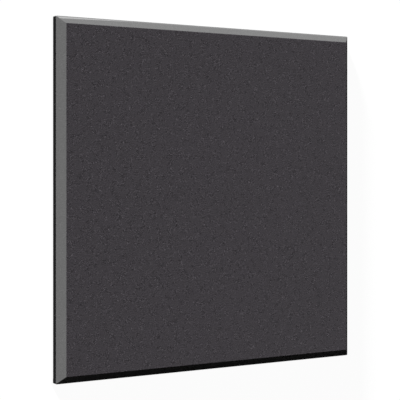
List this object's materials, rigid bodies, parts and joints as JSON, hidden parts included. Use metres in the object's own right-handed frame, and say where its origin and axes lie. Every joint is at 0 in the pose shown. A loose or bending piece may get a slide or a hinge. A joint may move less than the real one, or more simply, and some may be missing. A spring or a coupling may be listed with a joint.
{
  "type": "acoustic ceiling panel",
  "caption": "Square fabric-wrapped acoustic ceiling panel with bevelled edges, a glass-fibre board core and a flat back for fixing to a ceiling.",
  "frame": {"origin": "centre of the back, on the plane that the panel lies on and is fixed by", "axes": "+Z out of the face, +X to the right and +Y to the top of the panel as the picture shows it"},
  "size_m": [0.6096, 0.6096, 0.0254],
  "materials": {
    "glass_fibre": "raw resin-bonded glass-fibre board, matt",
    "charcoal_fabric": "woven charcoal acoustic fabric, matt"
  },
  "bodies": {
    "root": {"core_board": "glass_fibre", "fabric_cover": "charcoal_fabric"}
  },
  "joints": []
}
